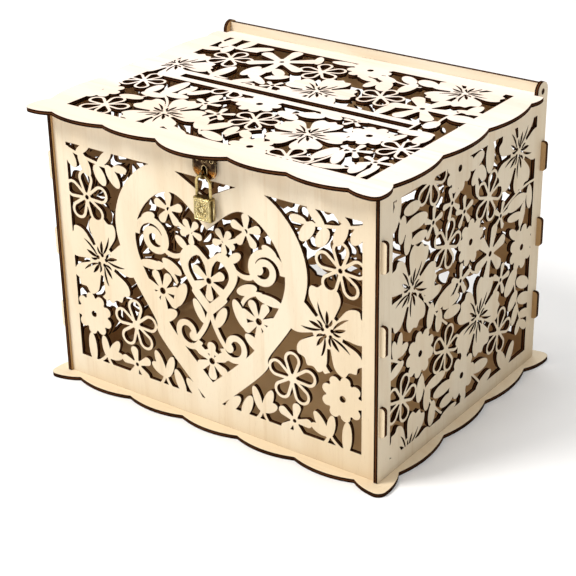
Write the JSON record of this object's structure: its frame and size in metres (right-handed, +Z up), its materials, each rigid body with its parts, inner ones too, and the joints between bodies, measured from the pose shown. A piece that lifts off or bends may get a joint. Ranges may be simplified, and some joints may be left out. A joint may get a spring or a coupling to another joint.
{
  "type": "wedding card box",
  "caption": "Laser-cut plywood box with floral lattice walls, a hinged lid with a card slot, and a small hanging padlock.",
  "frame": {"origin": "centre of the base plate's underside, on the surface that the box stands on", "axes": "+X to the right seen from the front, +Y to the rear towards the lid hinge, +Z up"},
  "size_m": [0.2976, 0.2471, 0.2234],
  "materials": {
    "plywood": "raw birch plywood with dark laser-burnt edges",
    "polished_brass": "polished",
    "antique_brass": "satin, ornate relief"
  },
  "bodies": {
    "box": {"base_plate": "plywood", "front_panel": "plywood", "back_panel": "plywood", "left_side_panel": "plywood", "right_side_panel": "plywood", "staple": "polished_brass", "staple_screws": "polished_brass"},
    "lid": {"lid_panel": "plywood", "hinge_bar": "plywood", "lock_tongue": "polished_brass", "tongue_screws": "polished_brass"},
    "shackle": {"padlock_shackle": "antique_brass"},
    "padlock": {"padlock_body": "antique_brass"},
    "cylinder": {"lock_cylinder": "antique_brass"}
  },
  "joints": [
    {"name": "lid_hinge", "type": "hinge", "parent": "box", "child": "lid", "pos_m": [0, 0.1005, 0.2164], "axis": [-1, 0, 0], "range_deg": [0, 118]},
    {"name": "padlock_swing", "type": "hinge", "parent": "box", "child": "shackle", "pos_m": [0.0025, -0.11, 0.1934], "axis": [-1, 0, 0], "range_deg": [0, 70]},
    {"name": "padlock_release", "type": "slide", "parent": "shackle", "child": "padlock", "axis": [0, 0, -1], "range_m": [0, 0.005]},
    {"name": "cylinder_turn", "type": "hinge", "parent": "padlock", "child": "cylinder", "pos_m": [0.0025, -0.11, 0.1615], "axis": [0, 0, -1], "range_deg": [0, 90]}
  ]
}
